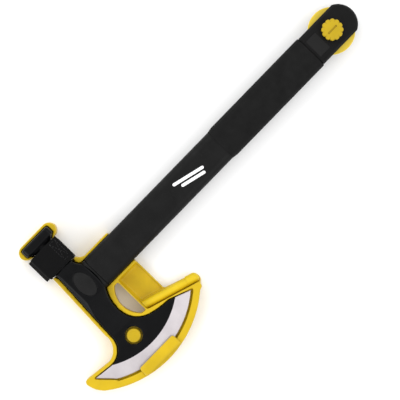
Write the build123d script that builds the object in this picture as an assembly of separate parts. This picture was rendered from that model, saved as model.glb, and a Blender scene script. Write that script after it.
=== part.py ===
from build123d import *
import os
from math import cos, pi, radians, sin

# Rescue axe lying flat in its blade tray. Millimetres, +X from hammer to cutting edge, +Y up the handle,
# +Z up from the surface that the tray's back rests on. The origin is on that surface, under the eye.

# --- cutting ---
PAST = 1.0              # cutters run this far past the faces that they cut
FAR = 200.0             # longer than anything that a trimming block has to cover
STOP = 10.0             # a plan outline runs this far past an edge that is trimmed later

# --- axe: heights ---
MID = 21.0              # middle plane of axe and handle
PLATE_T = 8.0           # blade plate
EDGE_T = 1.0            # left at the cutting edge
EYE_T = 28.0            # cheeks of the eye, and the handle
EYE_SIDE_T = 15.0       # the eye block's lower and upper sides, below the sloping cheek edges
EYE_ROOT_T = 26.0       # the eye block where it leaves the neck
CHEEK_X0, CHEEK_X1, TAPER_X = -25.0, 18.0, 70.0     # full thickness between the first two, blade at the last
CHEEK_Y0, CHEEK_Y1 = -10.0, 19.0                    # the cheek is flat between these
SLOPE_Y0, SLOPE_Y1 = -24.0, 27.0                    # where its sloping edges end

# --- axe: blade ---
ARC_X, ARC_Y = 3.7, 10.4        # common centre of cutting edge, bevel and tray rim
EDGE_R = 121.4
BEVEL_R = 103.4
HOLE_X, HOLE_Y = 85.5, 0.4
HOLE_R = 11.0

# --- axe: hammer and neck ---
FACE_X = -82.3          # striking face
FLANGE_X = -71.8        # back of the flange
NECK_X = -67.2          # where the flange's slope meets the neck
FLANGE_W, FLANGE_H = 44.0, 31.0
SLOPE_W, SLOPE_H = 41.0, 29.0       # the flange's slope where it starts
NECK_W, NECK_H = 28.4, 26.0
NECK_END = -28.0        # inside the eye block
FLANGE_CORNER = 6.0
FACE_CHAMFER = 1.6

# --- eye, core and pins ---
EYE_START = -32.6       # where the eye block grows out of the neck
EYE_TOP = 18.0          # the eye's upper end at its two sides, under the collar
EYE_HALF_W = 21.0
EYE_DOME_X, EYE_DOME_Y = -4.0, 21.5     # the top of its domed end between them
EYE_BOTTOM = -13.0      # where the core ends
CORE_W, CORE_H, CORE_CORNER = 30.0, 18.0, 5.0
CORE_WALL = 3.0
CORE_END = 396.0
PIN_R, PIN_HEAD_GAP = 3.0, 1.0
PIN_X = 8.0
PAD_Y, PAD_A, PAD_B = 4.5, 17.5, 10.5
PAD_DEPTH, PAD_T = 1.2, 2.0
WEDGE_L, WEDGE_LEAD = 14.0, 1.0

# --- handle ---
COLLAR_L = 6.0
COLLAR_W, COLLAR_H, COLLAR_CORNER = 42.0, 28.0, 8.0
COLLAR_EDGE, SLEEVE_EDGE, GRIP_EDGE = 1.0, 0.8, 1.5
SLEEVE_W, SLEEVE_CORNER = 43.0, 9.0
SLEEVE_END = 238.0
GRIP_W, GRIP_H, GRIP_CORNER = 45.4, 30.0, 10.0
GRIP_END = 396.0
GRIP_RISE = 7.0         # length of the taper at the grip's lower end

# --- end cap, disc and thumb screw ---
CAP_W, CAP_CORNER_Y, CAP_TOP = 43.2, 453.0, 466.2
CAP_EDGE = 2.5
PANEL_W, PANEL_Y0, PANEL_Y1, PANEL_DEPTH = 26.0, 398.5, 415.5, 0.7
SPIGOT_L, SPIGOT_FIT = 24.0, 0.1
SCREW_Y = 431.5         # axis of thumb screw and disc
DISC_R, DISC_T, DISC_GAP, DISC_EDGE = 29.0, 5.0, 0.3, 1.2
BUSH_R = 7.0
STUD_R, STUD_EDGE, BORE_GAP = 4.0, 0.5, 0.08
WASHER_R, WASHER_T, WASHER_GAP = 11.0, 1.2, 0.3
KNOB_R, KNOB_H, KNOB_EDGE = 13.3, 8.0, 0.8
KNOB_LOBES, KNOB_LOBE_R = 12, 3.3
SLOT_L, SLOT_W, SLOT_DEPTH = 14.0, 2.2, 1.6
NUT_R, NUT_T, NUT_LOBES, NUT_LOBE_R = 16.0, 7.0, 5, 6.0
INSERT_AF, INSERT_T = 14.0, 5.0
CAP_SCREW_R, CAP_SCREW_HEAD_R, CAP_SCREW_HEAD_T = 1.5, 2.4, 2.2
CAP_SCREW_LENGTH, CAP_SCREW_SINK = 20.0, 1.0
CAP_SOCKET_AF, CAP_SOCKET_DEPTH = 2.5, 1.3
CAP_SCREWS = [(-12.5, 400.6), (12.5, 400.6), (0.0, 463.0)]

# --- tray ---
FLOOR_T = 5.0
RIM_Z = 24.0
RIM_R = 132.4
HEAD_GAP = 1.2          # between the head's outline and the tray's walls
EDGE_GAP = 2.5          # between cutting edge and rim
CHANNEL_HALF = 22.0     # half-width of the channel for the handle
CHANNEL_END = 66.5
CHANNEL_STEP = 0.5      # the channel's right wall stands this much further out
WALL = 2.8
WAIST = 12.5            # half-width between the hammer's cup and the head
CUP_IN, CUP_OUT = -67.8, -86.6
RIM_LOW_X, RIM_HIGH_X = 107.3, 105.0    # where the round rim starts and ends
CUP_GAP, CUP_CORNER = 1.0, 2.0
RIB_T, REST_Z = 3.0, 16.8
LIP_R = 114.0           # outside this radius the floor is raised to the blade's rests
RIBS = [(93.0, 112.0, -42.0), (101.0, 118.0, 2.0), (94.0, 116.0, 46.0)]    # from x, to x, at y
BRIDGE_X1, BRIDGE_Y0 = 68.0, 34.5
BRIDGE_LIP, BRIDGE_FOOT_X, BRIDGE_TOP_X = 1.6, 62.0, 70.8
MOON_X0, MOON_X1, MOON_TOP, MOON_LOW, MOON_SIDE = 26.8, 74.0, 33.0, 16.2, 27.0
BOSS_R, BOSS_TOP, BOSS_FOOT_R = 8.5, 27.0, 14.0
BOSS_SCREW_R, BOSS_SCREW_HEAD_R, BOSS_SCREW_HEAD_T, BOSS_SCREW_L = 2.5, 4.5, 2.8, 18.0
BOSS_SOCKET_AF, BOSS_SOCKET_DEPTH = 4.0, 1.6
BOSS_DOME = 2.0
HEAD_SINK = 0.4         # the screw's head stays this far above the resting plane

# --- soft bead at the heel ---
BEAD_X, BEAD_Y, BEAD_R = 69.8, 37.5, 5.6
BEAD_LEAN = 17.5        # degrees from the handle's direction
BEAD_L = 56.5
BEAD_GAP = 0.4          # between bead and heel wall
BEAD_CAP_R, BEAD_CAP_L = 6.3, 9.4
BEAD_CAP_SIDE = -0.6    # the end bulges away from the heel wall
BEAD_Z = 13.2
LEDGE_Z = 8.0

# --- tab over the cutting edge ---
TAB_X0, TAB_HINGE_X, TAB_Y0, TAB_Y1 = 118.5, 132.3, -24.0, 34.0
TAB_T, TAB_GAP, TAB_CORNER, TAB_EDGE = 2.5, 0.3, 3.0, 0.6

# --- strap ---
PLY = 1.6
UNDER_X0, UNDER_X1 = -63.0, -32.9
OUTER_X0, OUTER_X1 = -66.6, -35.0
BAND_Z0 = 0.7           # underside of the webbing in the tray's back
NOTCH_T = 2.4           # depth of the tray's recess for it
NOTCH_SIDE = 0.6
LEG_IN_LOW, LEG_IN_HIGH = -15.3, 18.0   # inner faces of the fixed band's two legs
LEG_LOW_TOP, LEG_HIGH_TOP = 24.0, 34.3
LOOP_Z0, LOOP_Z1, PAD_PLY, PAD_INSET = 9.0, 23.0, 0.9, 2.0
PLY_GAP = 0.1
FLAP_Z = 34.9           # underside of the ply over the neck
FLAP_BACK = 21.4
FLAP_LOW_Z = 8.0
TAB_FLARE, TAB_FLARE_Z = 6.0, 7.0
RIVET_R, RIVET_HEAD_R, RIVET_HEAD_T = 2.0, 3.6, 0.6
RIVET_X, RIVET_Y = -48.0, 6.5

HALF_EYE = EYE_T / 2
DISC_Z0 = MID - DISC_T / 2
DISC_Z1 = MID + DISC_T / 2
CAP_Z0 = MID - HALF_EYE
CAP_Z1 = MID + HALF_EYE


def box(x0, x1, y0, y1, z0, z1):
    """A box between two corners."""
    return Pos((x0 + x1) / 2, (y0 + y1) / 2, (z0 + z1) / 2) * Box(x1 - x0, y1 - y0, z1 - z0)


def bar_x(width, height, corner, x0, x1):
    """A rounded bar along X, centred on the middle plane."""
    return extrude(across(x0) * RectangleRounded(width, height, corner), x1 - x0)


def bar_y(width, height, corner, y0, y1, grow=0.0):
    """A rounded bar along Y, centred on the middle plane; grow widens it all round."""
    section = RectangleRounded(width + 2 * grow, height + 2 * grow, corner + grow)
    return extrude(along(y0) * section, y1 - y0)


def disc(x, y, radius, z0, z1):
    """A round plate or pin along Z."""
    return Pos(x, y, (z0 + z1) / 2) * Cylinder(radius, z1 - z0)


def hexagon(x, y, across_flats, z0, z1):
    """A hexagonal prism along Z."""
    return extrude(Pos(x, y, z0) * RegularPolygon(across_flats / 2, 6, major_radius=False), z1 - z0)


def across(x):
    """A plane across the hammer's direction, on the middle plane."""
    return Plane(origin=(x, 0, MID), x_dir=(0, 1, 0), z_dir=(1, 0, 0))


def along(y):
    """A plane across the handle's direction, on the middle plane."""
    return Plane(origin=(0, y, MID), x_dir=(1, 0, 0), z_dir=(0, 1, 0))


def core_bore(y0, y1):
    """The space that the core fills."""
    return bar_y(CORE_W, CORE_H, CORE_CORNER, y0, y1)


# --- the axe ---

def head_outline():
    """The head seen from above, without hammer and neck; the cutting edge is trimmed later."""
    beyond = ARC_X + EDGE_R + STOP
    beard_a = (EYE_HALF_W, EYE_TOP)
    beard_b = (49.0, 9.7)
    beard_c = (82.2, 35.0)
    beard_d = (86.0, 60.0)
    heel = (98.7, 93.5)
    toe = (108.0, -51.4)
    toe_back = (88.6, -69.5)
    toe_root = (92.0, -44.0)
    belly = (69.0, -19.3)
    neck = (-34.0, -12.4)
    shoulder = (-34.0, 12.4)
    shoulder_top = (-EYE_HALF_W, EYE_TOP)
    lines = [
        ThreePointArc(beard_a, (34.0, 12.0), beard_b),
        ThreePointArc(beard_b, (70.5, 16.6), beard_c),
        ThreePointArc(beard_c, (84.8, 47.0), beard_d),
        Polyline(beard_d, heel, (beyond, heel[1]), (beyond, toe[1]), toe, toe_back, toe_root),
        ThreePointArc(toe_root, (87.2, -29.0), belly),
        Polyline(belly, neck, shoulder),
        ThreePointArc(shoulder, (-26.5, 14.0), shoulder_top),
        Line(shoulder_top, beard_a),
    ]
    return make_face(lines)


def eye_dome():
    """The eye's domed upper end seen from above."""
    left, right = (-EYE_HALF_W, EYE_TOP), (EYE_HALF_W, EYE_TOP)
    return make_face([ThreePointArc(left, (EYE_DOME_X, EYE_DOME_Y), right), Line(right, left)])


def blade_plate():
    """The flat plate with its ground bevel, turned about the arcs' common centre."""
    half = PLATE_T / 2
    thin = EDGE_T / 2
    profile = Plane.XZ * make_face(Polyline(
        (0, -half), (BEVEL_R, -half), (EDGE_R, -thin),
        (EDGE_R, thin), (BEVEL_R, half), (0, half), close=True))
    lens = Pos(ARC_X, ARC_Y, MID) * revolve(profile, Axis.Z)
    return extrude(Pos(0, 0, MID - half) * head_outline(), PLATE_T) & lens


def eye_block():
    """The thick middle of the head: it tapers into the blade and slopes off at both sides."""
    half = PLATE_T / 2
    root = EYE_ROOT_T / 2
    high = EYE_SIDE_T / 2
    low = high - 2
    plan = extrude(Pos(0, 0, CAP_Z0) * (head_outline() + eye_dome()), EYE_T)
    taper = make_face(Polyline(
        (EYE_START, -root), (CHEEK_X0, -HALF_EYE), (CHEEK_X1, -HALF_EYE), (TAPER_X, -half),
        (TAPER_X, half), (CHEEK_X1, HALF_EYE), (CHEEK_X0, HALF_EYE), (EYE_START, root), close=True))
    slopes = make_face(Polyline(
        (SLOPE_Y0, -low), (CHEEK_Y0, -HALF_EYE), (CHEEK_Y1, -HALF_EYE), (SLOPE_Y1, -high),
        (SLOPE_Y1, high), (CHEEK_Y1, HALF_EYE), (CHEEK_Y0, HALF_EYE), (SLOPE_Y0, low), close=True))
    return plan & extrude(along(0) * taper, FAR, both=True) & extrude(across(0) * slopes, FAR, both=True)


def hammer():
    """The poll: a striking flange that slopes into the neck."""
    flange = bar_x(FLANGE_W, FLANGE_H, FLANGE_CORNER, FACE_X, FLANGE_X)
    flange = chamfer(flange.faces().sort_by(Axis.X)[0].edges(), FACE_CHAMFER)
    slope = loft([
        across(FLANGE_X) * RectangleRounded(SLOPE_W, SLOPE_H, FLANGE_CORNER),
        across(NECK_X) * RectangleRounded(NECK_W - 2, NECK_H - 2, FLANGE_CORNER)])
    neck = extrude(across(FLANGE_X) * Ellipse(NECK_W / 2, NECK_H / 2), NECK_END - FLANGE_X)
    return flange + slope + neck


def pad_recess(front):
    """The pocket for a pad, and the pad before its edge is chamfered."""
    z0 = CAP_Z1 - PAD_DEPTH if front else CAP_Z0 + PAD_DEPTH - PAD_T
    return extrude(Pos(0, PAD_Y, z0) * Ellipse(PAD_A, PAD_B), PAD_T)


def pad(front):
    """An oval pad let into one cheek over the pins."""
    solid = pad_recess(front)
    face = solid.faces().sort_by(Axis.Z)[-1 if front else 0]
    return chamfer(face.edges(), PAD_T - PAD_DEPTH)


def eye_pins():
    """Two cross pins that hold the core in the eye."""
    z0 = CAP_Z0 + PAD_DEPTH + PIN_HEAD_GAP
    z1 = CAP_Z1 - PAD_DEPTH - PIN_HEAD_GAP
    return [disc(sx * PIN_X, PAD_Y, PIN_R, z0, z1) for sx in (-1, 1)]


def axe_head():
    """Hammer, neck, eye and blade in one forging."""
    solid = blade_plate() + eye_block() + hammer()
    solid -= core_bore(EYE_BOTTOM, EYE_DOME_Y + PAST)
    solid -= disc(HOLE_X, HOLE_Y, HOLE_R, 0, CAP_Z1)
    for front in (True, False):
        solid -= pad_recess(front)
    for pin in eye_pins():
        solid -= pin
    return solid


def core_tube():
    """The handle's stiff core, a rounded box tube."""
    inner = bar_y(CORE_W, CORE_H, CORE_CORNER, EYE_BOTTOM, CORE_END, grow=-CORE_WALL)
    solid = core_bore(EYE_BOTTOM, CORE_END) - inner
    for pin in eye_pins():
        solid -= pin
    return solid


def core_wedge():
    """A plug that keeps the core tight in the eye."""
    solid = bar_y(CORE_W, CORE_H, CORE_CORNER, EYE_BOTTOM, EYE_BOTTOM + WEDGE_L, grow=-CORE_WALL)
    return chamfer(solid.faces().sort_by(Axis.Y)[-1].edges(), WEDGE_LEAD)


def collar():
    """The ring between head and sleeve, hollowed to sit on the eye's domed upper end."""
    solid = bar_y(COLLAR_W, COLLAR_H, COLLAR_CORNER, EYE_TOP, EYE_TOP + COLLAR_L)
    solid = chamfer(solid.faces().sort_by(Axis.Y)[-1].edges(), COLLAR_EDGE)
    solid -= extrude(eye_dome(), CAP_Z1 + PAST)
    return solid - core_bore(EYE_TOP - PAST, EYE_TOP + COLLAR_L + PAST)


def shaft_sleeve():
    """The hard lower sleeve."""
    start = EYE_TOP + COLLAR_L
    solid = bar_y(SLEEVE_W, EYE_T, SLEEVE_CORNER, start, SLEEVE_END)
    solid = chamfer(solid.faces().sort_by(Axis.Y)[0].edges(), SLEEVE_EDGE)
    return solid - core_bore(start - PAST, SLEEVE_END + PAST)


def grip_sleeve():
    """The upper grip, a little thicker, rising from the sleeve in a short taper."""
    rise = loft([
        along(SLEEVE_END) * RectangleRounded(SLEEVE_W, EYE_T, SLEEVE_CORNER),
        along(SLEEVE_END + GRIP_RISE) * RectangleRounded(GRIP_W, GRIP_H, GRIP_CORNER)])
    solid = bar_y(GRIP_W, GRIP_H, GRIP_CORNER, SLEEVE_END + GRIP_RISE, GRIP_END)
    solid = chamfer(solid.faces().sort_by(Axis.Y)[-1].edges(), GRIP_EDGE)
    return rise + solid - core_bore(SLEEVE_END - PAST, GRIP_END + PAST)


def end_cap_body():
    """Both halves of the end cap together, with spigot and slot for the disc."""
    half = CAP_W / 2
    outline = make_face([
        Polyline((-half, CAP_CORNER_Y), (-half, GRIP_END), (half, GRIP_END), (half, CAP_CORNER_Y)),
        ThreePointArc((half, CAP_CORNER_Y), (0, CAP_TOP), (-half, CAP_CORNER_Y))])
    solid = extrude(Pos(0, 0, CAP_Z0) * outline, EYE_T)
    rims = solid.edges().filter_by(GeomType.LINE).filter_by(Axis.Y)
    rims += solid.edges().filter_by(GeomType.CIRCLE)
    solid = chamfer(rims, CAP_EDGE)
    inset = -CORE_WALL - SPIGOT_FIT
    solid += bar_y(CORE_W, CORE_H, CORE_CORNER, GRIP_END - SPIGOT_L, GRIP_END, grow=inset)
    solid -= disc(0, SCREW_Y, DISC_R + DISC_GAP, DISC_Z0 - DISC_GAP, DISC_Z1 + DISC_GAP)
    solid -= disc(0, SCREW_Y, STUD_R + BORE_GAP, 0, CAP_Z1 + PAST)
    solid -= box(-PANEL_W / 2, PANEL_W / 2, PANEL_Y0, PANEL_Y1, CAP_Z1 - PANEL_DEPTH, CAP_Z1 + PAST)
    for x, y in CAP_SCREWS:
        solid -= cap_screw(x, y)
        solid -= disc(x, y, CAP_SCREW_HEAD_R, CAP_Z0 - PAST, CAP_Z0 + CAP_SCREW_SINK)
    return solid


def end_cap(front):
    """One half of the end cap."""
    z0, z1 = (MID, CAP_Z1 + PAST) if front else (CAP_Z0 - PAST, MID)
    return end_cap_body() & box(-CAP_W, CAP_W, GRIP_END - SPIGOT_L - PAST, CAP_TOP + PAST, z0, z1)


def cap_screw(x, y):
    """One screw's outside, driven from the rear."""
    z0 = CAP_Z0 + CAP_SCREW_SINK
    z1 = z0 + CAP_SCREW_HEAD_T
    return disc(x, y, CAP_SCREW_HEAD_R, z0, z1) + disc(x, y, CAP_SCREW_R, z1, z0 + CAP_SCREW_LENGTH)


def cap_screws():
    """The screws that hold the two halves together, with their hexagon sockets."""
    z0 = CAP_Z0 + CAP_SCREW_SINK
    return [cap_screw(x, y) - hexagon(x, y, CAP_SOCKET_AF, z0 - PAST, z0 + CAP_SOCKET_DEPTH)
            for x, y in CAP_SCREWS]


def nut_insert():
    """The threaded insert in the rear nut; its thread is a plain bore."""
    solid = hexagon(0, SCREW_Y, INSERT_AF, CAP_Z0 - INSERT_T, CAP_Z0)
    return solid - disc(0, SCREW_Y, STUD_R + BORE_GAP, 0, CAP_Z0 + PAST)


def rear_nut():
    """The lobed nut on the rear, which is also the handle's foot."""
    solid = disc(0, SCREW_Y, NUT_R - NUT_LOBE_R / 2, CAP_Z0 - NUT_T, CAP_Z0)
    reach = NUT_R - NUT_LOBE_R
    for n in range(NUT_LOBES):
        a = pi / 2 + 2 * pi * n / NUT_LOBES
        solid += disc(reach * cos(a), SCREW_Y + reach * sin(a), NUT_LOBE_R, CAP_Z0 - NUT_T, CAP_Z0)
    return solid - hexagon(0, SCREW_Y, INSERT_AF, CAP_Z0 - INSERT_T, CAP_Z0 + PAST)


def screw_stud():
    """The stud of the thumb screw."""
    solid = disc(0, SCREW_Y, STUD_R, CAP_Z0 - INSERT_T + STUD_EDGE, CAP_Z1 + KNOB_H / 2)
    return chamfer(solid.edges(), STUD_EDGE)


def front_washer():
    """The washer under the knob."""
    z1 = CAP_Z1 + WASHER_T
    return disc(0, SCREW_Y, WASHER_R, CAP_Z1, z1) - disc(0, SCREW_Y, STUD_R + WASHER_GAP, 0, z1 + PAST)


def knob_lobe(x, y, radius, z0, z1):
    """A round lobe with its upper edge chamfered."""
    lobe = disc(x, y, radius, z0, z1)
    return chamfer(lobe.faces().sort_by(Axis.Z)[-1].edges(), KNOB_EDGE)


def thumb_knob():
    """The lobed knob with a coin slot along the handle."""
    z0 = CAP_Z1 + WASHER_T
    z1 = z0 + KNOB_H
    half = SLOT_L / 2
    reach = KNOB_R - KNOB_LOBE_R
    solid = knob_lobe(0, SCREW_Y, reach, z0, z1)
    for n in range(KNOB_LOBES):
        a = pi * (2 * n + 1) / KNOB_LOBES
        solid += knob_lobe(reach * cos(a), SCREW_Y + reach * sin(a), KNOB_LOBE_R, z0, z1)
    solid -= box(-SLOT_W / 2, SLOT_W / 2, SCREW_Y - half, SCREW_Y + half, z1 - SLOT_DEPTH, z1 + PAST)
    return solid - screw_stud()


def pommel_disc():
    """The disc that turns in the end cap's slot."""
    solid = disc(0, SCREW_Y, DISC_R, DISC_Z0, DISC_Z1)
    solid = fillet(solid.edges(), DISC_EDGE)
    return solid - disc(0, SCREW_Y, BUSH_R, 0, CAP_Z1)


def disc_bush():
    """The disc's metal bush."""
    return disc(0, SCREW_Y, BUSH_R, DISC_Z0, DISC_Z1) - disc(0, SCREW_Y, STUD_R + BORE_GAP, 0, CAP_Z1)


# --- the tray ---

def tray_outline():
    """The tray seen from above: handle channel, strap waist, hammer cup, belly, toe, rim, heel and bridge."""
    left = -CHANNEL_HALF - WALL
    right = CHANNEL_HALF + WALL + CHANNEL_STEP
    rim_low = (RIM_LOW_X, ARC_Y - (RIM_R ** 2 - (RIM_LOW_X - ARC_X) ** 2) ** 0.5)
    rim_high = (RIM_HIGH_X, ARC_Y + (RIM_R ** 2 - (RIM_HIGH_X - ARC_X) ** 2) ** 0.5)
    lines = [
        Polyline((right, CHANNEL_END), (left, CHANNEL_END), (left, 29.0)),
        ThreePointArc((left, 29.0), (-27.3, 22.6), (-32.0, 18.8)),
        Polyline((-32.0, 18.8), (-32.0, WAIST), (-64.0, WAIST), (CUP_IN, 18.0)),
        ThreePointArc((CUP_IN, 18.0), (-70.8, 26.6), (-77.0, 29.2)),
        ThreePointArc((-77.0, 29.2), (-83.8, 26.2), (CUP_OUT, 18.0)),
        Line((CUP_OUT, 18.0), (CUP_OUT, -18.0)),
        ThreePointArc((CUP_OUT, -18.0), (-83.8, -25.4), (-77.0, -28.4)),
        ThreePointArc((-77.0, -28.4), (-70.8, -25.6), (CUP_IN, -18.0)),
        Polyline((CUP_IN, -18.0), (-64.0, -WAIST), (-32.0, -WAIST), (-32.0, -19.0), (61.0, -24.0)),
        ThreePointArc((61.0, -24.0), (79.8, -29.8), (86.5, -45.0)),
        Line((86.5, -45.0), (82.3, -77.0)),
        ThreePointArc((82.3, -77.0), (83.6, -81.0), (88.0, -82.0)),
        ThreePointArc((88.0, -82.0), (98.0, -78.8), rim_low),
        ThreePointArc(rim_low, (ARC_X + RIM_R, ARC_Y), rim_high),
        Polyline(rim_high, (103.5, 100.5), (99.0, 102.0)),
        ThreePointArc((99.0, 102.0), (91.0, 107.0), (84.5, 102.0)),
        Polyline((84.5, 102.0), (72.5, 68.5), (72.5, CHANNEL_END), (right, CHANNEL_END)),
    ]
    return make_face(lines)


def pocket_outline():
    """The space for head, hammer, neck and handle, with clearance."""
    blade = offset(head_outline(), HEAD_GAP, kind=Kind.INTERSECTION)
    blade &= Pos(ARC_X, ARC_Y) * Circle(EDGE_R + EDGE_GAP)
    y0, y1 = EYE_TOP - 2, CHANNEL_END + STOP
    channel = Pos(0, (y0 + y1) / 2) * Rectangle(2 * CHANNEL_HALF, y1 - y0)
    neck = Pos((FLANGE_X + NECK_END) / 2, 0) * Rectangle(NECK_END - FLANGE_X, NECK_W + 2 * CUP_GAP)
    x0, x1 = FACE_X - CUP_GAP, FLANGE_X + CUP_GAP
    flange = Pos((x0 + x1) / 2, 0) * RectangleRounded(x1 - x0, FLANGE_W + 2 * CUP_GAP, CUP_CORNER)
    wide, narrow = SLOPE_W / 2, NECK_W / 2 + CUP_GAP
    slope = make_face(Polyline(
        (x1 - CUP_GAP, -wide), (NECK_X + CUP_GAP, -narrow), (NECK_X + CUP_GAP, narrow),
        (x1 - CUP_GAP, wide), close=True))
    return blade + channel + neck + flange + slope


def moon_opening():
    """The half-moon hole in the tray beside the beard."""
    face = make_face([
        Polyline((MOON_X0, MOON_SIDE), (MOON_X0, MOON_TOP), (MOON_X1, MOON_TOP), (MOON_X1, MOON_SIDE)),
        ThreePointArc((MOON_X1, MOON_SIDE), ((MOON_X0 + MOON_X1) / 2, MOON_LOW), (MOON_X0, MOON_SIDE))])
    return extrude(Pos(0, 0, -PAST) * face, RIM_Z + 2 * PAST)


def blade_rests():
    """Ribs on the tray's floor that carry the blade plate."""
    return [box(x0, x1, y - RIB_T / 2, y + RIB_T / 2, FLOOR_T - PAST, REST_Z) for x0, x1, y in RIBS]


def bead_side(ahead, side):
    """A point in plan, given ways along the bead's axis and to its right."""
    a = radians(BEAD_LEAN)
    return (BEAD_X + ahead * sin(a) + side * cos(a), BEAD_Y + ahead * cos(a) - side * sin(a))


def tray_cuts():
    """Everything taken out of the tray's block except the strap's recess and the holes."""
    x0 = CHANNEL_HALF + WALL + CHANNEL_STEP
    y0, y1 = BRIDGE_Y0 + BRIDGE_LIP, CHANNEL_END - BRIDGE_LIP
    wall_foot = bead_side(-BEAD_R, BEAD_R + BEAD_GAP)
    wall_top = bead_side(BEAD_L + 4 * BEAD_CAP_L, BEAD_R + BEAD_GAP)
    ledge = make_face(Polyline(
        (wall_foot[0], BRIDGE_Y0), wall_foot, wall_top, (BRIDGE_FOOT_X - 2, wall_top[1]),
        (BRIDGE_FOOT_X - 2, BRIDGE_Y0), close=True))
    hollow = make_face(Polyline(
        (x0 + BRIDGE_LIP, y0), (BRIDGE_FOOT_X, y0), (BRIDGE_TOP_X, y1), (x0 + BRIDGE_LIP, y1), close=True))
    return [
        extrude(Pos(0, 0, FLOOR_T) * (pocket_outline() & Pos(ARC_X, ARC_Y) * Circle(LIP_R)), RIM_Z),
        extrude(Pos(0, 0, REST_Z) * pocket_outline(), RIM_Z),
        box(x0, BRIDGE_X1, BRIDGE_Y0, CHANNEL_END + PAST, LEDGE_Z, RIM_Z + PAST),
        extrude(Pos(0, 0, FLOOR_T) * hollow, RIM_Z),
        moon_opening(),
        extrude(Pos(0, 0, LEDGE_Z) * ledge, RIM_Z),
    ]


def boss_screw():
    """The screw that holds the boss, driven from the tray's back."""
    z1 = HEAD_SINK + BOSS_SCREW_HEAD_T
    head = disc(HOLE_X, HOLE_Y, BOSS_SCREW_HEAD_R, HEAD_SINK, z1)
    head -= hexagon(HOLE_X, HOLE_Y, BOSS_SOCKET_AF, 0, HEAD_SINK + BOSS_SOCKET_DEPTH)
    return head + disc(HOLE_X, HOLE_Y, BOSS_SCREW_R, z1, HEAD_SINK + BOSS_SCREW_L)


def locating_boss():
    """A stepped boss: the blade lies on its foot, and its head stands in the blade's hole."""
    foot = disc(HOLE_X, HOLE_Y, BOSS_FOOT_R, FLOOR_T, REST_Z)
    pin = disc(HOLE_X, HOLE_Y, BOSS_R, REST_Z, BOSS_TOP)
    pin = fillet(pin.faces().sort_by(Axis.Z)[-1].edges(), BOSS_DOME)
    return foot + pin - disc(HOLE_X, HOLE_Y, BOSS_SCREW_R, 0, HEAD_SINK + BOSS_SCREW_L)


def strap_rivets():
    """Rivets through the webbing and the tray's floor."""
    out = []
    for sy in (-1, 1):
        y = sy * RIVET_Y
        shank = disc(RIVET_X, y, RIVET_R, BAND_Z0, FLOOR_T)
        low = disc(RIVET_X, y, RIVET_HEAD_R, BAND_Z0 - RIVET_HEAD_T, BAND_Z0)
        high = disc(RIVET_X, y, RIVET_HEAD_R, FLOOR_T, FLOOR_T + RIVET_HEAD_T)
        out.append(shank + low + high)
    return out


def sheath_tray():
    """The moulded tray."""
    solid = extrude(tray_outline(), RIM_Z)
    for cut in tray_cuts():
        solid -= cut
    for rib in blade_rests():
        solid += rib
    solid -= box(UNDER_X0 - NOTCH_SIDE, UNDER_X1 + NOTCH_SIDE, -FLANGE_W, FLANGE_W, -PAST, NOTCH_T)
    solid -= disc(HOLE_X, HOLE_Y, BOSS_SCREW_R + BORE_GAP, -PAST, FLOOR_T + PAST)
    solid -= disc(HOLE_X, HOLE_Y, BOSS_SCREW_HEAD_R + BORE_GAP, -PAST, HEAD_SINK + BOSS_SCREW_HEAD_T)
    for rivet in strap_rivets():
        solid -= rivet
    return solid


def bead_plane(ahead, side=0.0):
    """A plane across the bead, given ways along it and to its right."""
    a = radians(BEAD_LEAN)
    x, y = bead_side(ahead, side)
    return Plane(origin=(x, y, BEAD_Z), x_dir=(0, 0, 1), z_dir=(sin(a), cos(a), 0))


def on_ledge(solid):
    """The part of a solid above the ledge."""
    return solid & box(0, FAR, 0, FAR, LEDGE_Z, FAR)


def heel_bead():
    """A soft round bead on the ledge along the blade's heel."""
    solid = extrude(bead_plane(-BEAD_R) * Circle(BEAD_R), BEAD_R + BEAD_L)
    return on_ledge(solid) - box(0, FAR, 0, BRIDGE_Y0 + BEAD_GAP, 0, FAR)


def heel_bead_cap():
    """The bead's rounded end."""
    solid = extrude(bead_plane(BEAD_L, BEAD_CAP_SIDE) * Circle(BEAD_CAP_R), BEAD_CAP_L)
    centre = bead_plane(BEAD_L + BEAD_CAP_L, BEAD_CAP_SIDE).origin
    return on_ledge(solid + Pos(centre.X, centre.Y, centre.Z) * Sphere(BEAD_CAP_R))


def edge_tab():
    """The tab over the middle of the cutting edge, hinged on the rim."""
    z0 = RIM_Z + TAB_GAP
    solid = box(TAB_X0, TAB_HINGE_X, TAB_Y0, TAB_Y1, z0, z0 + TAB_T)
    free = solid.edges().filter_by(Axis.Z).sort_by(Axis.X)[:2]
    solid = fillet(free, TAB_CORNER)
    return chamfer(solid.faces().sort_by(Axis.Z)[-1].edges().sort_by(Axis.X)[:-1], TAB_EDGE)


# --- the strap ---

def strap_anchor():
    """Webbing fixed to the tray: across its back and up both sides of the neck."""
    y0 = LEG_IN_LOW - PLY
    y1 = LEG_IN_HIGH + PLY
    solid = box(UNDER_X0, UNDER_X1, y0, y1, BAND_Z0, BAND_Z0 + PLY)
    solid += box(UNDER_X0, UNDER_X1, y0, LEG_IN_LOW, BAND_Z0, LEG_LOW_TOP)
    solid += box(UNDER_X0, UNDER_X1, LEG_IN_HIGH, y1, BAND_Z0, LEG_HIGH_TOP)
    for rivet in strap_rivets():
        solid -= rivet
    return solid


def strap_loop_pad():
    """The loop patch on the fixed band's lower leg."""
    y1 = LEG_IN_LOW - PLY
    return box(UNDER_X0 + PAD_INSET, UNDER_X1 - PAD_INSET, y1 - PAD_PLY, y1, LOOP_Z0, LOOP_Z1)


def strap_hook_pad():
    """The hook patch inside the flap's leg."""
    y1 = LEG_IN_LOW - PLY - PAD_PLY - PLY_GAP
    return box(UNDER_X0 + PAD_INSET, UNDER_X1 - PAD_INSET, y1 - PAD_PLY, y1, LOOP_Z0, LOOP_Z1)


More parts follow.
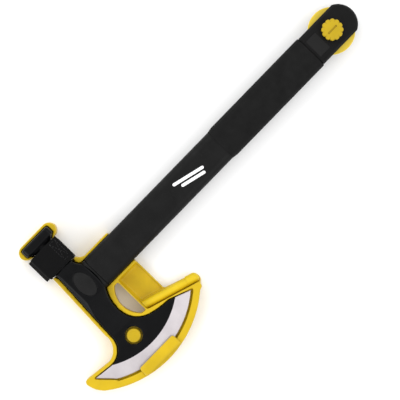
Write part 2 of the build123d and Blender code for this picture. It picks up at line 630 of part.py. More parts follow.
def under_ply_y():
    """Inner face of the flap's under ply, outside both patches."""
    return LEG_IN_LOW - PLY - 2 * PAD_PLY - PLY_GAP


def strap_backing():
    """The flap's under ply: over the neck and down its lower side."""
    y1 = under_ply_y()
    solid = box(UNDER_X0, UNDER_X1, y1 - PLY, FLAP_BACK, FLAP_Z, FLAP_Z + PLY)
    return solid + box(UNDER_X0, UNDER_X1, y1 - PLY, y1, FLAP_LOW_Z, FLAP_Z + PLY)


def strap_flap():
    """The flap's outer ply, with its lower end standing off as a pull tab."""
    y1 = under_ply_y() - PLY
    z0 = FLAP_Z + PLY
    solid = box(OUTER_X0, OUTER_X1, y1 - PLY, FLAP_BACK, z0, z0 + PLY)
    solid += box(OUTER_X0, OUTER_X1, y1 - PLY, y1, FLAP_LOW_Z + TAB_FLARE_Z, z0 + PLY)
    flare = make_face(Polyline(
        (y1, FLAP_LOW_Z + TAB_FLARE_Z), (y1 - PLY, FLAP_LOW_Z + TAB_FLARE_Z),
        (y1 - PLY - TAB_FLARE, FLAP_LOW_Z), (y1 - TAB_FLARE, FLAP_LOW_Z), close=True))
    plane = Plane(origin=(OUTER_X0, 0, 0), x_dir=(0, 1, 0), z_dir=(1, 0, 0))
    return solid + extrude(plane * flare, OUTER_X1 - OUTER_X0)


def write(name, shape):
    """Write one node's STEP file; a list of solids becomes one compound."""
    if isinstance(shape, list):
        shape = Compound(children=shape)
    export_step(shape, f"parts/{name}.step")


NODES = {
    "axe_head": axe_head(),
    "core_tube": core_tube(),
    "core_wedge": core_wedge(),
    "eye_pins": eye_pins(),
    "eye_pad_front": pad(True),
    "eye_pad_rear": pad(False),
    "collar": collar(),
    "shaft_sleeve": shaft_sleeve(),
    "grip_sleeve": grip_sleeve(),
    "end_cap_front": end_cap(True),
    "end_cap_rear": end_cap(False),
    "cap_screws": cap_screws(),
    "rear_nut": rear_nut(),
    "nut_insert": nut_insert(),
    "screw_stud": screw_stud(),
    "thumb_knob": thumb_knob(),
    "front_washer": front_washer(),
    "pommel_disc": pommel_disc(),
    "disc_bush": disc_bush(),
    "sheath_tray": sheath_tray(),
    "locating_boss": locating_boss(),
    "boss_screw": boss_screw(),
    "heel_bead": heel_bead(),
    "heel_bead_cap": heel_bead_cap(),
    "edge_tab": edge_tab(),
    "strap_anchor": strap_anchor(),
    "strap_rivets": strap_rivets(),
    "strap_loop_pad": strap_loop_pad(),
    "strap_flap": strap_flap(),
    "strap_backing": strap_backing(),
    "strap_hook_pad": strap_hook_pad(),
}

os.makedirs("parts", exist_ok=True)
for node, made in NODES.items():
    write(node, made)
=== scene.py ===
"""Rescue axe lying in its blade tray: looks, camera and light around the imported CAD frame. Metres."""

import math

import bmesh
import bpy
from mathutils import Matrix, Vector, noise


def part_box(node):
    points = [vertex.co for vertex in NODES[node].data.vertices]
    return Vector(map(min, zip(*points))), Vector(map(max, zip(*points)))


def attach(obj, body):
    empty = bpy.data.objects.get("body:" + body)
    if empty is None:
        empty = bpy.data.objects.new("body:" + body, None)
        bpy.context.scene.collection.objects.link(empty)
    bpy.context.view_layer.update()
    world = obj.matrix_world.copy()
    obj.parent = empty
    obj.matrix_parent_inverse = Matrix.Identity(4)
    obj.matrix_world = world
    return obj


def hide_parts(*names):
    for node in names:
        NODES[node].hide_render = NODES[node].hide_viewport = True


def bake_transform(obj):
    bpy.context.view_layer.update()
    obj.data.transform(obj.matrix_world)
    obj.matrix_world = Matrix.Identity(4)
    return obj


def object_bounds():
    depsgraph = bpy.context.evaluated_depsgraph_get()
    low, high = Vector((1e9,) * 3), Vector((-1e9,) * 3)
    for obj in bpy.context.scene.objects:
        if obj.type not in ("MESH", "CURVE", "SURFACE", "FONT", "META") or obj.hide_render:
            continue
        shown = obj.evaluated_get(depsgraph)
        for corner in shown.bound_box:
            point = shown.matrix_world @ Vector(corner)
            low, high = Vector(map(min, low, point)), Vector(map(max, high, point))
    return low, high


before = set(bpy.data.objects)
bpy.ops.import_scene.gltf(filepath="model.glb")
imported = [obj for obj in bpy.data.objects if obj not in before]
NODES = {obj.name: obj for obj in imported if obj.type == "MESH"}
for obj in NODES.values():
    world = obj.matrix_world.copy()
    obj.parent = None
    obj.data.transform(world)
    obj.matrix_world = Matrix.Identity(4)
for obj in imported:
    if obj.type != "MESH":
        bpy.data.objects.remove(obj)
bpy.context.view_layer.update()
MM = 0.001

# The view: straight down, the handle up and to the right.
MIDDLE = Vector((0.0287, 0.1737, 0.021))
VIEW_WIDTH = 0.4846
ROLL = math.radians(44.2)
LENS, SENSOR = 200.0, 36.0

# The arcs of the blade's bevel and of the tray's rim share this centre.
ARC_X, ARC_Y = 0.0037, 0.0104
BEVEL_R, RIM_R = 0.1034, 0.1324

PLY = 1.6 * MM          # the strap's webbing
PANEL_STEP = 0.35 * MM  # anything this far below the cap's front is the panel's floor


# --- scene, camera and light ---

def add_object(name, mesh):
    """A new mesh object in the scene."""
    made = bpy.data.objects.new(name, mesh)
    bpy.context.scene.collection.objects.link(made)
    return made


def add_camera():
    """A long lens straight above the object."""
    data = bpy.data.cameras.new("camera")
    data.lens = LENS
    data.sensor_width = SENSOR
    camera = add_object("camera", data)
    camera.location = MIDDLE + Vector((0, 0, VIEW_WIDTH * LENS / SENSOR))
    camera.rotation_euler = (0, 0, ROLL)
    bpy.context.scene.camera = camera


def add_softbox(name, bearing, elevation, distance, width, height, power):
    """A soft rectangular light; bearing is measured from +X towards +Y, in degrees."""
    a, e = math.radians(bearing), math.radians(elevation)
    away = Vector((math.cos(a) * math.cos(e), math.sin(a) * math.cos(e), math.sin(e)))
    data = bpy.data.lights.new(name, "AREA")
    data.shape = "RECTANGLE"
    data.size = width
    data.size_y = height
    data.energy = power
    light = add_object(name, data)
    light.location = MIDDLE + away * distance
    light.rotation_euler = (-away).to_track_quat("-Z", "Y").to_euler()


def add_world(strength):
    """Even white light from all round."""
    world = bpy.data.worlds.new("world")
    world.use_nodes = True
    background = world.node_tree.nodes["Background"]
    background.inputs["Color"].default_value = (1.0, 1.0, 1.0, 1.0)
    background.inputs["Strength"].default_value = strength
    bpy.context.scene.world = world


def add_floor(half=3.0, gap=0.2 * MM):
    """The pale floor under the object."""
    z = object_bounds()[0].z - gap
    mesh = bpy.data.meshes.new("floor")
    corners = [(-half, -half, z), (half, -half, z), (half, half, z), (-half, half, z)]
    mesh.from_pydata(corners, [], [(0, 1, 2, 3)])
    floor = add_object("floor", mesh)
    floor.data.materials.append(floor_material())


# --- material helpers ---

class Nodes:
    """Short calls for building one material's node tree."""

    def __init__(self, name):
        self.material = bpy.data.materials.new(name)
        self.material.use_nodes = True
        self.tree = self.material.node_tree
        self.shader = self.tree.nodes["Principled BSDF"]
        self.coords = self.add("ShaderNodeTexCoord").outputs["Object"]

    def add(self, kind, **settings):
        node = self.tree.nodes.new(kind)
        for key, value in settings.items():
            setattr(node, key, value)
        return node

    def link(self, source, target):
        self.tree.links.new(source, target)

    def feed(self, socket, value):
        """A number, a colour or another socket into this socket."""
        if isinstance(value, tuple):
            socket.default_value = (*value, 1.0)
        elif isinstance(value, (int, float)):
            socket.default_value = value
        else:
            self.link(value, socket)

    def shade(self, **values):
        """Numbers, colours and sockets into the shader, by its sockets' names."""
        for key, value in values.items():
            self.feed(self.shader.inputs[key.replace("_", " ")], value)

    def math(self, operation, *values, clamp=False):
        node = self.add("ShaderNodeMath", operation=operation, use_clamp=clamp)
        for socket, value in zip(node.inputs, values):
            self.feed(socket, value)
        return node.outputs[0]

    def noise(self, scale, detail=2.0, coords=None):
        node = self.add("ShaderNodeTexNoise")
        node.inputs["Scale"].default_value = scale
        node.inputs["Detail"].default_value = detail
        self.link(coords or self.coords, node.inputs["Vector"])
        return node.outputs["Fac"]

    def ramp(self, source, low, a, high, b):
        """From a to b, greys or colours, as the source goes from low to high."""
        node = self.add("ShaderNodeValToRGB")
        for element, place, value in zip(node.color_ramp.elements, (low, high), (a, b)):
            element.position = place
            element.color = (*value, 1.0) if isinstance(value, tuple) else (value, value, value, 1.0)
        self.link(source, node.inputs["Fac"])
        return node.outputs["Color"]

    def mix(self, factor, a, b):
        node = self.add("ShaderNodeMix", data_type="RGBA")
        self.feed(node.inputs["Factor"], factor)
        sockets = [socket for socket in node.inputs if socket.type == "RGBA"]
        self.feed(sockets[0], a)
        self.feed(sockets[1], b)
        return [socket for socket in node.outputs if socket.type == "RGBA"][0]

    def xyz(self, vector=None):
        node = self.add("ShaderNodeSeparateXYZ")
        self.link(vector or self.coords, node.inputs[0])
        return node.outputs

    def vector(self, *values):
        node = self.add("ShaderNodeCombineXYZ")
        for socket, value in zip(node.inputs, values):
            self.feed(socket, value)
        return node.outputs[0]

    def bump(self, height, strength, distance, normal=None):
        node = self.add("ShaderNodeBump")
        node.inputs["Strength"].default_value = strength
        node.inputs["Distance"].default_value = distance
        self.link(height, node.inputs["Height"])
        if normal is not None:
            self.link(normal, node.inputs["Normal"])
        return node.outputs["Normal"]

    def rubbed(self, low, high):
        """1 on outer edges of a fine, even mesh, broken up by noise."""
        edge = self.ramp(self.add("ShaderNodeNewGeometry").outputs["Pointiness"], low, 0.0, high, 1.0)
        return self.math("MULTIPLY", edge, self.ramp(self.noise(170.0, 4.0), 0.40, 0.0, 0.66, 1.0))


# --- materials ---

def floor_material():
    """Matt white board."""
    m = Nodes("floor")
    m.shade(Base_Color=m.ramp(m.noise(3.0), 0.3, 0.93, 0.7, 0.95), Roughness=0.9)
    m.shade(Specular_IOR_Level=0.1)
    return m.material


def yellow_moulding(name, tone, rough, rubbed=False):
    """Moulded yellow: faint mottling, a fine spark-eroded grain, and paler rubbed edges."""
    m = Nodes(name)
    deep = tuple(channel * 0.86 for channel in tone)
    base = m.ramp(m.noise(42.0, 4.0), 0.30, deep, 0.66, tone)
    if rubbed:
        base = m.mix(m.rubbed(0.53, 0.60), base, (0.68, 0.56, 0.09))
    scuffs = m.noise(260.0, 5.0)
    grain = m.bump(m.noise(1500.0, 2.0), 0.16, 0.15 * MM)
    m.shade(Base_Color=base, Roughness=m.ramp(scuffs, 0.35, rough - 0.05, 0.70, rough + 0.10))
    m.shade(Normal=m.bump(m.noise(70.0, 2.0), 0.10, 0.5 * MM, grain))
    m.shade(Specular_IOR_Level=0.26)
    return m.material


def black_moulding(name, tone, rough, gloss, grain, grain_scale):
    """Black moulded plastic or rubber: grey mottling, dusty patches and a fine grain."""
    m = Nodes(name)
    base = m.ramp(m.noise(55.0, 4.0), 0.30, tone * 0.75, 0.72, tone * 1.2)
    dust = m.ramp(m.noise(420.0, 5.0), 0.58, 0.0, 0.74, 0.35)
    m.shade(Base_Color=m.mix(dust, base, (tone * 2.2, tone * 2.2, tone * 2.2)))
    m.shade(Roughness=m.ramp(m.noise(130.0, 3.0), 0.3, rough - 0.06, 0.7, rough + 0.08))
    m.shade(Normal=m.bump(m.noise(grain_scale, 3.0), grain, 0.2 * MM), Specular_IOR_Level=gloss)
    return m.material


def cap_with_panel(tone, rough, gloss):
    """The cap's plastic, with a paler floor in its recessed panel.

    The floor is found by its height in the scene, so its paler tone shows only while the axe lies at rest.
    """
    m = Nodes("panelled_cap")
    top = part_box("end_cap_front")[1].z
    surface = m.add("ShaderNodeNewGeometry").outputs
    low = m.math("LESS_THAN", m.xyz(surface["Position"])[2], top - PANEL_STEP)
    facing = m.math("GREATER_THAN", m.xyz(surface["Normal"])[2], 0.95)
    floor = m.math("MULTIPLY", low, facing)
    base = m.ramp(m.noise(55.0, 4.0), 0.30, tone * 0.75, 0.72, tone * 1.2)
    m.shade(Base_Color=m.mix(floor, base, (tone * 2.9, tone * 2.9, tone * 2.9)))
    m.shade(Roughness=m.ramp(m.noise(130.0, 3.0), 0.3, rough - 0.06, 0.7, rough + 0.08))
    m.shade(Normal=m.bump(m.noise(1900.0, 3.0), 0.16, 0.2 * MM), Specular_IOR_Level=gloss)
    return m.material


def grip_rubber():
    """Matt black rubber with a pattern of fine raised pips along the grip."""
    m = Nodes("grip_rubber")
    pitch = 1.6 * MM
    cells = m.add("ShaderNodeTexVoronoi")
    cells.inputs["Scale"].default_value = 1.0 / pitch
    cells.inputs["Randomness"].default_value = 0.25
    m.link(m.coords, cells.inputs["Vector"])
    pips = m.ramp(cells.outputs["Distance"], 0.20, 1.0, 0.50, 0.0)
    skin = m.bump(m.noise(1300.0, 3.0), 0.25, 0.15 * MM)
    m.shade(Base_Color=m.ramp(m.noise(60.0, 4.0), 0.3, 0.0049, 0.7, 0.0077))
    m.shade(Roughness=m.ramp(m.noise(150.0, 3.0), 0.3, 0.62, 0.7, 0.76), Specular_IOR_Level=0.11)
    m.shade(Normal=m.bump(pips, 0.35, 0.25 * MM, skin))
    return m.material


def head_steel():
    """Black gloss-coated forging; outside the bevel's arc the steel is ground bright."""
    m = Nodes("coated_head")
    x, y = m.xyz()[:2]
    dx = m.math("SUBTRACT", x, ARC_X)
    dy = m.math("SUBTRACT", y, ARC_Y)
    radius = m.math("SQRT", m.math("ADD", m.math("MULTIPLY", dx, dx), m.math("MULTIPLY", dy, dy)))
    ground = m.math("MULTIPLY", m.math("GREATER_THAN", radius, BEVEL_R), m.math("GREATER_THAN", x, 0.05))
    coat = m.ramp(m.noise(60.0, 4.0), 0.3, (0.0014, 0.0015, 0.0018), 0.75, (0.0028, 0.0030, 0.0035))
    worn = m.mix(m.rubbed(0.56, 0.68), coat, (0.045, 0.045, 0.047))
    around = m.math("MULTIPLY", m.math("ARCTAN2", dy, dx), 0.9)
    grinding = m.noise(900.0, 3.0, m.vector(m.math("MULTIPLY", radius, 0.12), around, 0.0))
    clouds = m.noise(45.0, 3.0)
    bright = m.mix(m.ramp(clouds, 0.35, 0.0, 0.65, 1.0), (0.505, 0.465, 0.485), (0.585, 0.545, 0.560))
    streaked = m.mix(m.ramp(grinding, 0.35, 0.0, 0.65, 0.35), bright, (0.44, 0.42, 0.435))
    m.shade(Base_Color=m.mix(ground, worn, streaked), Metallic=m.math("MULTIPLY", ground, 0.45))
    coat_rough = m.ramp(m.noise(140.0, 3.0), 0.3, 0.27, 0.7, 0.36)
    m.shade(Roughness=m.mix(ground, coat_rough, m.ramp(grinding, 0.3, 0.40, 0.7, 0.52)))
    peel = m.bump(m.noise(480.0, 2.0), 0.05, 0.3 * MM)
    m.shade(Normal=m.bump(m.math("MULTIPLY", grinding, ground), 0.10, 0.1 * MM, peel))
    m.shade(Specular_IOR_Level=0.12)
    return m.material


def metal(name, colour, rough):
    """Turned or plated metal with fine scratches."""
    m = Nodes(name)
    dark = tuple(channel * 0.8 for channel in colour)
    m.shade(Base_Color=m.ramp(m.noise(400.0, 3.0), 0.3, dark, 0.7, colour), Metallic=1.0)
    m.shade(Roughness=m.ramp(m.noise(700.0, 2.0), 0.3, rough - 0.06, 0.7, rough + 0.10))
    m.shade(Normal=m.bump(m.noise(2500.0, 2.0), 0.08, 0.1 * MM))
    return m.material


def webbing_material(name, tone, pitch=1.5 * MM):
    """Woven strap: ribs across and yarns along, read from each piece's own strap coordinates."""
    m = Nodes(name)
    strap = m.add("ShaderNodeAttribute", attribute_name="strap")
    across, along = m.xyz(strap.outputs["Vector"])[:2]
    turns = 2 * math.pi / pitch
    warp = m.math("SINE", m.math("MULTIPLY", across, turns))
    weft = m.math("SINE", m.math("MULTIPLY", along, turns))
    weave = m.math("MULTIPLY_ADD", m.math("MULTIPLY", warp, weft), 0.5, 0.5)
    fuzz = m.noise(2600.0, 4.0)
    height = m.math("MULTIPLY_ADD", fuzz, 0.5, weave)
    worn = m.math("MULTIPLY", m.ramp(m.noise(90.0, 4.0), 0.45, 0.0, 0.75, 1.0), weave)
    # Tone follows the weave's height: painted shade darkens the dips between yarns and the tops are paler.
    # The paler worn patches on the tops are wear.
    low = (tone * 0.55, tone * 0.55, tone * 0.58)
    high = (tone * 1.25, tone * 1.25, tone * 1.3)
    m.shade(Base_Color=m.mix(m.math("MULTIPLY_ADD", worn, 0.35, m.math("MULTIPLY", weave, 0.6)), low, high))
    m.shade(Roughness=m.ramp(fuzz, 0.3, 0.80, 0.7, 0.95), Specular_IOR_Level=0.08)
    m.shade(Sheen_Weight=0.05, Sheen_Roughness=0.5)
    m.shade(Normal=m.bump(height, 0.6, 0.3 * MM))
    return m.material


def thread_material():
    """Twisted black thread."""
    m = Nodes("thread")
    m.shade(Base_Color=m.ramp(m.noise(3000.0, 2.0), 0.3, 0.010, 0.7, 0.030), Specular_IOR_Level=0.25)
    m.shade(Roughness=m.ramp(m.noise(800.0), 0.3, 0.55, 0.7, 0.75))
    return m.material


def print_material():
    """White ink with faint pinholes."""
    m = Nodes("white_print")
    m.shade(Base_Color=m.ramp(m.noise(900.0, 3.0), 0.28, 0.55, 0.42, 0.88), Specular_IOR_Level=0.3)
    m.shade(Roughness=m.ramp(m.noise(300.0, 2.0), 0.3, 0.42, 0.7, 0.58))
    return m.material


# --- the CAD nodes ---

def soften(node, voxel, passes):
    """Rounds a moulded or forged node's edges without moving its faces."""
    remesh = NODES[node].modifiers.new("even", "REMESH")
    remesh.mode = "VOXEL"
    remesh.voxel_size = voxel
    remesh.use_smooth_shade = True
    smooth = NODES[node].modifiers.new("round", "SMOOTH")
    smooth.factor = 0.5
    smooth.iterations = passes


def round_edges(node, width, segments=3):
    """Small rounds on a machined node's sharp edges."""
    weld = NODES[node].modifiers.new("weld", "WELD")
    weld.merge_threshold = 0.01 * MM
    bevel = NODES[node].modifiers.new("round", "BEVEL")
    bevel.width = width
    bevel.segments = segments
    bevel.limit_method = "ANGLE"
    bevel.angle_limit = math.radians(32)
    bevel.use_clamp_overlap = False
    bevel.harden_normals = True


TRAY_YELLOW = (0.600, 0.405, 0.0055)
KNOB_YELLOW = (0.475, 0.325, 0.0045)
SOFT_YELLOW = (0.700, 0.500, 0.0070)
# The pommel disc's yellow is paler than the knob's to make up for the shade in its slot: painted light.
DISC_YELLOW_PAINTED_LIGHT = (0.760, 0.560, 0.0500)


def finish_nodes():
    """A procedural material on every CAD node, and rounded edges on the tray, the head and the listed parts.
    """
    yellow = yellow_moulding("yellow_plastic", KNOB_YELLOW, 0.36)
    tray = yellow_moulding("tray_plastic", TRAY_YELLOW, 0.38, rubbed=True)
    soft_yellow = yellow_moulding("yellow_rubber", SOFT_YELLOW, 0.48)
    # The disc's paler tone is painted light against the shade of its slot.
    disc_yellow_painted_light = yellow_moulding("disc_plastic_painted_light", DISC_YELLOW_PAINTED_LIGHT, 0.42)
    sleeve = black_moulding("black_nylon", 0.0064, 0.50, 0.12, 0.22, 1700.0)
    cap = black_moulding("cap_nylon", 0.0036, 0.42, 0.13, 0.16, 1900.0)
    panelled = cap_with_panel(0.0036, 0.42, 0.13)
    pad = black_moulding("pad_rubber", 0.0095, 0.60, 0.13, 0.20, 1500.0)
    zinc = metal("zinc_steel", (0.62, 0.62, 0.60), 0.35)
    brass = metal("brass", (0.75, 0.56, 0.24), 0.32)
    core = black_moulding("core_composite", 0.12, 0.6, 0.3, 0.2, 1200.0)
    chosen = {
        "axe_head": head_steel(), "core_tube": core, "core_wedge": core, "eye_pins": zinc,
        "eye_pad_front": pad, "eye_pad_rear": pad, "collar": sleeve, "shaft_sleeve": sleeve,
        "grip_sleeve": grip_rubber(), "end_cap_front": panelled, "end_cap_rear": cap, "cap_screws": zinc,
        "rear_nut": cap, "nut_insert": brass, "screw_stud": zinc, "thumb_knob": yellow,
        "front_washer": zinc, "pommel_disc": disc_yellow_painted_light, "disc_bush": brass, "sheath_tray": tray,
        "locating_boss": yellow, "boss_screw": zinc, "heel_bead": soft_yellow,
        "heel_bead_cap": soft_yellow, "edge_tab": soft_yellow, "strap_rivets": zinc,
    }
    for name, node in NODES.items():
        node.data.materials.clear()
        node.data.materials.append(chosen.get(name, sleeve))
    soften("sheath_tray", 1.0 * MM, 5)
    soften("axe_head", 0.8 * MM, 6)
    for name in ("collar", "shaft_sleeve", "end_cap_front", "end_cap_rear", "rear_nut"):
        round_edges(name, 0.5 * MM)
    round_edges("thumb_knob", 0.12 * MM, 2)
    for name in ("front_washer", "cap_screws", "boss_screw", "eye_pad_front", "eye_pad_rear"):
        round_edges(name, 0.2 * MM, 2)


# --- the strap ---

def rounded(corners, radius, steps=6):
    """A path through the corners with each inner one rounded off."""
    path = [corners[0]]
    for before, corner, after in zip(corners, corners[1:], corners[2:]):
        back = (before - corner).normalized() * radius
        ahead = (after - corner).normalized() * radius
        for step in range(steps + 1):
            t = step / steps
            path.append(corner + back * (1 - t) ** 2 + ahead * t ** 2)
    path.append(corners[-1])
    return path


def evenly(path, step):
    """The same path in steps of about the same length."""
    lengths = [0.0]
    for a, b in zip(path, path[1:]):
        lengths.append(lengths[-1] + (b - a).length)
    count = max(2, round(lengths[-1] / step))
    out, n = [], 0
    for k in range(count + 1):
        want = lengths[-1] * k / count
        while n < len(path) - 2 and lengths[n + 1] < want:
            n += 1
        span = lengths[n + 1] - lengths[n]
        t = (want - lengths[n]) / span if span else 0.0
        out.append(path[n].lerp(path[n + 1], min(1.0, t)))
    return out


def ribbon(name, x0, x1, corners, thickness, material, radius, uneven=0.12 * MM):
    """A webbing strap with round selvedges along corners in the YZ plane, as a closed mesh."""
    path = evenly(rounded([Vector((0, y, z)) for y, z in corners], radius), 1.0 * MM)
    across = 24
    sides = [i / across for i in range(across + 1)]
    loop = [(u, 1) for u in sides] + [(u, -1) for u in reversed(sides)]
    points, strap = [], []
    for k, centre in enumerate(path):
        ahead = (path[min(k + 1, len(path) - 1)] - path[max(k - 1, 0)]).normalized()
        out = Vector((0, -ahead.z, ahead.y))
        for u, side in loop:
            edge = min(u, 1 - u) * (x1 - x0)
            half = thickness / 2 * (1.0 - 0.55 * max(0.0, 1 - edge / (0.8 * MM)) ** 2)
            selvedge = 0.08 * thickness * math.exp(-((edge - 1.6 * MM) / (0.8 * MM)) ** 2)
            at = Vector((x0 + u * (x1 - x0), centre.y, centre.z))
            ripple = noise.noise(at * 90.0) * uneven
            points.append(at + out * (side * (half - selvedge) + ripple))
            strap.append((u * (x1 - x0), k * MM, side))
    ring = len(loop)
    faces = [
        (a * ring + i, a * ring + (i + 1) % ring, (a + 1) * ring + (i + 1) % ring, (a + 1) * ring + i)
        for a in range(len(path) - 1) for i in range(ring)]
    for start in (0, (len(path) - 1) * ring):
        faces += [
            (start + i, start + i + 1, start + ring - 2 - i, start + ring - 1 - i) for i in range(across)]
    return strap_object(name, points, strap, faces, material)


def strap_object(name, points, strap, faces, material):
    """A smooth mesh that carries its strap coordinates for the weave."""
    mesh = bpy.data.meshes.new(name)
    mesh.from_pydata(points, [], faces)
    mesh.attributes.new("strap", "FLOAT_VECTOR", "POINT")
    for value, place in zip(mesh.attributes["strap"].data, strap):
        value.vector = place
    mesh.validate()
    fix_normals(mesh)
    mesh.polygons.foreach_set("use_smooth", [True] * len(mesh.polygons))
    mesh.materials.append(material)
    return add_object(name, mesh)


def closed_object(name, points, faces, material, smooth=True):
    """A closed mesh in one material."""
    mesh = bpy.data.meshes.new(name)
    mesh.from_pydata(points, [], faces)
    fix_normals(mesh)
    mesh.polygons.foreach_set("use_smooth", [smooth] * len(mesh.polygons))
    mesh.materials.append(material)
    return add_object(name, mesh)


def slab_faces(rows, columns):
    """The faces of a closed slab: a grid of points for its front, then the same grid for its back."""
    wide = columns + 1
    back = (rows + 1) * wide
    faces = []
    for r in range(rows):
        for c in range(columns):
            a = r * wide + c
            faces.append((a, a + 1, a + wide + 1, a + wide))
            faces.append((back + a, back + a + wide, back + a + wide + 1, back + a + 1))
    rim = list(range(wide)) + [r * wide + columns for r in range(1, rows + 1)]
    rim += [rows * wide + c for c in reversed(range(columns))] + [r * wide for r in reversed(range(1, rows))]
    return faces + [(a, b, back + b, back + a) for a, b in zip(rim, rim[1:] + rim[:1])]


def fix_normals(mesh):
    """Turns a closed mesh's faces outward."""
    work = bmesh.new()
    work.from_mesh(mesh)
    bmesh.ops.recalc_face_normals(work, faces=work.faces)
    work.to_mesh(mesh)
    work.free()


# One thread loop: way along it, height in radii, thickness in radii.
LOOP = ((0, -0.3, 0.5), (0.2, 0.35, 1), (0.5, 0.6, 1), (0.8, 0.35, 1), (1, -0.3, 0.5))


def stitches(name, rows, material, length=2.6 * MM, gap=1.1 * MM, radius=0.28 * MM):
    """Short thread loops along straight rows, each row given by two ends and an outward direction."""
    points, faces = [], []
    for start, end, out in rows:
        start, end, out = Vector(start), Vector(end), Vector(out)
        way = (end - start).normalized()
        side = way.cross(out)
        for n in range(int((end - start).length / (length + gap))):
            base = start + way * n * (length + gap)
            rings = []
            for t, lift, size in LOOP:
                centre = base + way * length * t + out * radius * lift
                rings.append(len(points))
                for k in range(6):
                    a = k * math.pi / 3
                    points.append(centre + (side * math.cos(a) + out * math.sin(a)) * radius * size)
            for a, b in zip(rings, rings[1:]):
                faces += [(a + k, a + (k + 1) % 6, b + (k + 1) % 6, b + k) for k in range(6)]
            faces += [tuple(rings[0] + k for k in reversed(range(6))), tuple(rings[-1] + k for k in range(6))]
    return closed_object(name, points, faces, material)


def patch(name, node, outward, material, tuft=0.16 * MM, pitch=0.7 * MM):
    """A hook or loop patch: a thin pad whose outer face is all small tufts."""
    low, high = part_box(node)
    columns = round((high.x - low.x) / pitch)
    rows = round((high.z - low.z) / pitch)
    face_y, back_y = (high.y, low.y) if outward > 0 else (low.y, high.y)
    points, strap = [], []
    for y, tufted in ((face_y, True), (back_y, False)):
        for r in range(rows + 1):
            for c in range(columns + 1):
                inner = 0 < r < rows and 0 < c < columns
                rise = tuft * (0.4 + noise.random()) if tufted and inner and (r + c) % 2 else 0.0
                x = low.x + (high.x - low.x) * c / columns
                z = low.z + (high.z - low.z) * r / rows
                points.append((x, y - outward * (tuft * 1.4 if tufted else 0.0) + outward * rise, z))
                strap.append((x, z, 0.0))
    return strap_object(name, points, strap, slab_faces(rows, columns), material)


def make_strap():
    """The fixed band, the two plies of the flap, their stitching and the hook-and-loop patches."""
    noise.seed_set(7)
    outer_web = webbing_material("webbing_outer", 0.0046)
    under_web = webbing_material("webbing_under", 0.0064)
    hooks = webbing_material("hook_pile", 0.0180, 0.7 * MM)
    thread = thread_material()
    low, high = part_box("strap_anchor")
    y0, y1, z0 = low.y + PLY / 2, high.y - PLY / 2, low.z + PLY / 2
    short_leg = high.z - 10.3 * MM
    flap_low, flap_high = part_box("strap_backing")
    top = flap_high.z - PLY / 2
    down = flap_low.y + PLY / 2
    band = ribbon(
        "strap_band", low.x, high.x, [(y0, short_leg), (y0, z0), (y1, z0), (y1, high.z - 2.0 * MM)],
        PLY * 0.96, under_web, 2.0 * MM)
    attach(band, "sheath")
    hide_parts("strap_anchor")
    under = ribbon(
        "strap_under_ply", low.x, high.x,
        [(y1, high.z - 3.5 * MM), (y1, top), (down, top), (down, flap_low.z)],
        PLY * 0.94, under_web, 2.6 * MM)
    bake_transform(under)
    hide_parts("strap_backing")
    outer_low, outer_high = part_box("strap_flap")
    outer_top = outer_high.z - PLY / 2
    outer_down = down - PLY
    outer = ribbon(
        "strap_outer_ply", outer_low.x, outer_high.x,
        [(outer_high.y - 0.6 * MM, outer_top), (outer_down, outer_top), (outer_down, 15.0 * MM),
         (outer_low.y + PLY * 0.62, outer_low.z + 0.4 * MM)], PLY * 0.94, outer_web, 2.6 * MM)
    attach(outer, "strap_flap")
    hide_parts("strap_flap")
    seam_z = outer_high.z + 0.02 * MM
    inset = 3.0 * MM
    xa, xb = outer_low.x + inset, outer_high.x - inset
    ya, yb = outer_high.y - 4.0 * MM, outer_high.y - 13.0 * MM
    up = (0, 0, 1)
    rows = [((xa, ya, seam_z), (xb, ya, seam_z), up), ((xa, yb, seam_z), (xb, yb, seam_z), up),
            ((xa, yb, seam_z), (xa, ya, seam_z), up), ((xb, yb, seam_z), (xb, ya, seam_z), up),
            ((xa, yb, seam_z), (xb, ya, seam_z), up), ((xa, ya, seam_z), (xb, yb, seam_z), up)]
    face = outer_down - PLY / 2
    below = (0, -1, 0)
    rows += [((xa, face, z), (xb, face, z), below) for z in (17.0 * MM, 30.0 * MM)]
    sewing = stitches("strap_stitching", rows, thread)
    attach(sewing, "strap_flap")
    loop = patch("strap_loop_patch", "strap_loop_pad", -1, hooks)
    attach(loop, "sheath")
    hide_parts("strap_loop_pad")
    hook = patch("strap_hook_patch", "strap_hook_pad", 1, hooks)
    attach(hook, "strap_flap")
    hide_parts("strap_hook_pad")


# --- the tab over the cutting edge ---

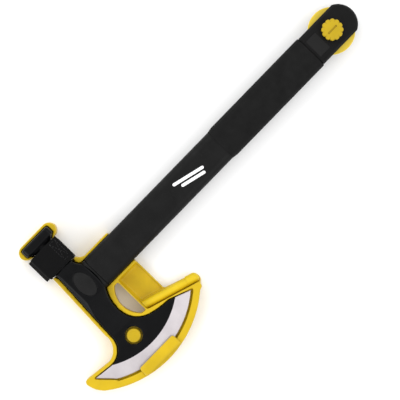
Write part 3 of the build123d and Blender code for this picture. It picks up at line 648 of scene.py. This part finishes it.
def make_tab():
    """The soft tab: thin at its free edge, thick over the blade, and a thin web along its outer edge."""
    low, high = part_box("edge_tab")
    hinge_x = high.x
    corner, web, lip = 3.0 * MM, 0.28 * MM, 1.3 * MM
    rows = 58
    stations = [0.0, 0.03, 0.08, 0.16, 0.28, 0.42, 0.56, 0.70, 0.80, 0.87, 0.92, 0.96, 1.0]
    thick = high.z - low.z
    grid = []
    for r in range(rows + 1):
        y = low.y + (high.y - low.y) * r / rows
        near_end = max(0.0, corner - min(y - low.y, high.y - y))
        free_x = low.x + corner - math.sqrt(max(0.0, corner ** 2 - near_end ** 2))
        rim_x = ARC_X + math.sqrt(RIM_R ** 2 - (y - ARC_Y) ** 2) - 0.5 * MM
        outer_x = min(hinge_x + 2.0 * MM, rim_x)
        bend_x = min(hinge_x, outer_x - 0.3 * MM)
        end_fade = min(1.0, (0.35 * MM + min(y - low.y, high.y - y)) / (1.2 * MM))
        row = []
        for s in stations:
            x = free_x + (bend_x - free_x) * s
            rise = lip + (thick - lip) * math.sin(math.pi / 2 * min(1.0, s / 0.28))
            fall = math.sqrt(max(0.0, 1 - max(0.0, (s - 0.80) / 0.20) ** 2))
            crown = max(web, rise * fall) * math.sqrt(end_fade)
            row.append((x, y, low.z + min(thick, crown)))
        row.append((outer_x, y, low.z + web * 0.6))
        grid.append(row)
    points = [p for row in grid for p in row]
    for row in grid:
        points += [(x, y, low.z) for x, y, z in row[:-1]]
        points.append((row[-1][0], row[-1][1], low.z - 0.22 * MM))
    faces = slab_faces(rows, len(stations))
    tab = closed_object("edge_tab_soft", points, faces, bpy.data.materials["tray_plastic"])
    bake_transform(tab)
    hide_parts("edge_tab")


# --- the printed mark ---

def make_mark():
    """A generic mark: two slanted bars with round ends, printed on the sleeve's front."""
    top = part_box("shaft_sleeve")[1].z
    bars = [(-6.5, 165.0, 40.0), (1.5, 172.0, 30.0)]
    lean, half, ink = math.radians(14), 1.9 * MM, 0.06 * MM
    way = Vector((math.sin(lean), math.cos(lean), 0))
    side = Vector((way.y, -way.x, 0))
    steps = 8
    points, faces = [], []
    for x, y, length in bars:
        start = Vector((x * MM, y * MM, top))
        outline = []
        for end, centre in ((0, start), (1, start + way * length * MM)):
            for k in range(steps + 1):
                a = math.pi * (k / steps + 1 - end)
                outline.append(centre + side * math.cos(a) * half + way * math.sin(a) * half)
        first, count = len(points), len(outline)
        points += [p + Vector((0, 0, ink)) for p in outline] + [p - Vector((0, 0, ink)) for p in outline]
        faces.append(tuple(first + k for k in range(count)))
        faces.append(tuple(first + count + k for k in reversed(range(count))))
        faces += [(first + k, first + count + k, first + count + (k + 1) % count, first + (k + 1) % count)
                  for k in range(count)]
    mark = closed_object("sleeve_mark", points, faces, print_material(), smooth=False)
    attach(mark, "axe")


bpy.context.scene.view_settings.view_transform = "Standard"
add_camera()
add_world(0.80)
add_softbox("softbox_low", -100, 34, 1.7, 1.2, 0.9, 11.0)
add_softbox("softbox_left", 165, 42, 1.7, 1.4, 1.0, 9.5)
add_softbox("softbox_right", 20, 50, 1.8, 1.4, 1.0, 8.0)
add_softbox("softbox_far", 75, 50, 1.8, 1.4, 1.0, 6.0)
add_floor()
finish_nodes()
make_strap()
make_tab()
make_mark()
